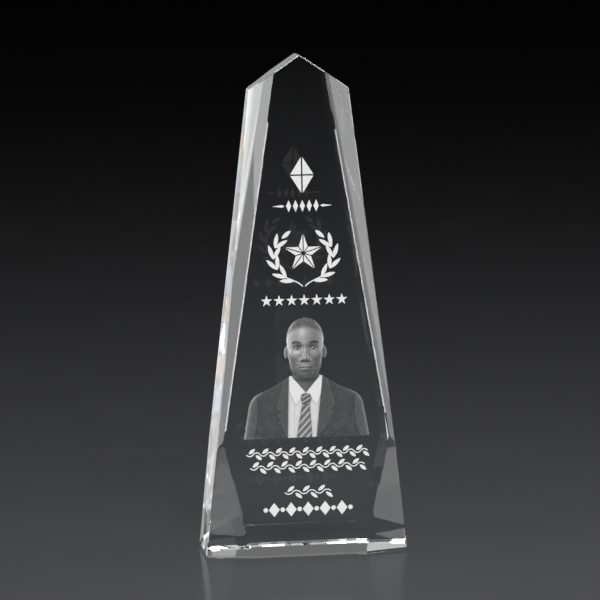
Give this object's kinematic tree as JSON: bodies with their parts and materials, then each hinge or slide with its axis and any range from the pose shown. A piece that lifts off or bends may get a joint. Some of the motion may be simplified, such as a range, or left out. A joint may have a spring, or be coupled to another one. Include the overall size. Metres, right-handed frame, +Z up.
{
  "type": "crystal award",
  "caption": "Tall tapered crystal award block with a ridged top, facet-cut corners and a white-filled engraved front.",
  "frame": {"origin": "middle of the underside, on the surface the award stands on", "axes": "+Z up along the height, -Y towards the engraved front, +X to the right seen from the front"},
  "size_m": [0.1038, 0.0434, 0.2538],
  "materials": {
    "crystal": "polished optical crystal",
    "white_fill": "matte white engraving fill",
    "portrait_fill": "fine-line engraved white"
  },
  "bodies": {
    "root": {"crystal_body": "crystal", "emblem_fill": "white_fill", "title_ornament_fill": "white_fill", "laurel_left_fill": "white_fill", "laurel_right_fill": "white_fill", "star_fill": "white_fill", "star_row_fill": "white_fill", "portrait_hair_fill": "portrait_fill", "portrait_face_fill": "portrait_fill", "portrait_beard_fill": "portrait_fill", "portrait_shirt_fill": "portrait_fill", "portrait_tie_fill": "portrait_fill", "portrait_jacket_fill": "portrait_fill", "upper_vine_fill": "white_fill", "lower_vine_fill": "white_fill", "short_vine_fill": "white_fill", "name_band_fill": "white_fill"}
  },
  "joints": []
}
